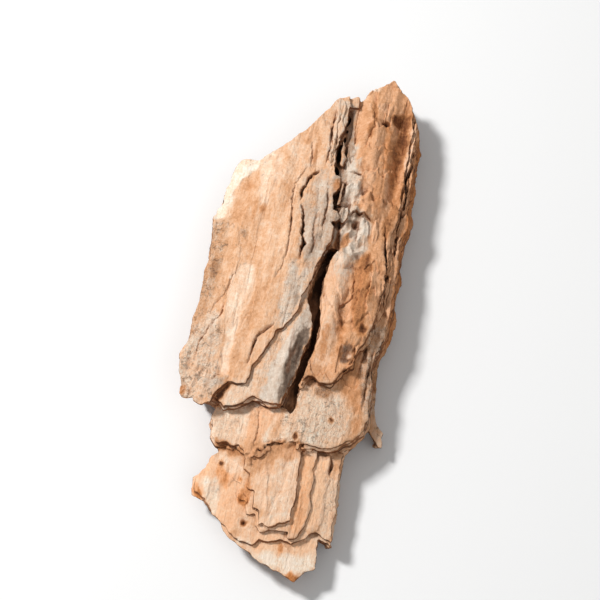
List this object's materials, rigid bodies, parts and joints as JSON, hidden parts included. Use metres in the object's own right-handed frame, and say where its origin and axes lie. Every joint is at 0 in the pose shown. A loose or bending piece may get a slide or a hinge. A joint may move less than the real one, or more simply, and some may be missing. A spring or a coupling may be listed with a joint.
{
  "type": "piece of bark",
  "caption": "Flat slab of flaky pine bark, long along the grain, with stepped plates, a lengthwise furrow, ragged layered edges and a smooth hollow inner face.",
  "frame": {"origin": "on the ground, below the middle of the bounding box, with the bark lying on its hollow inner face", "axes": "+Y along the grain towards the pointed end, +X across the grain, +Z out of the trunk through the outer face"},
  "size_m": [0.0443, 0.121, 0.0131],
  "materials": {
    "bark": "dry matt salmon-brown cork, weathered grey along the furrow, cream where a flake has come off, red-brown on the inner face"
  },
  "bodies": {
    "root": {"bark": "bark"}
  },
  "joints": []
}
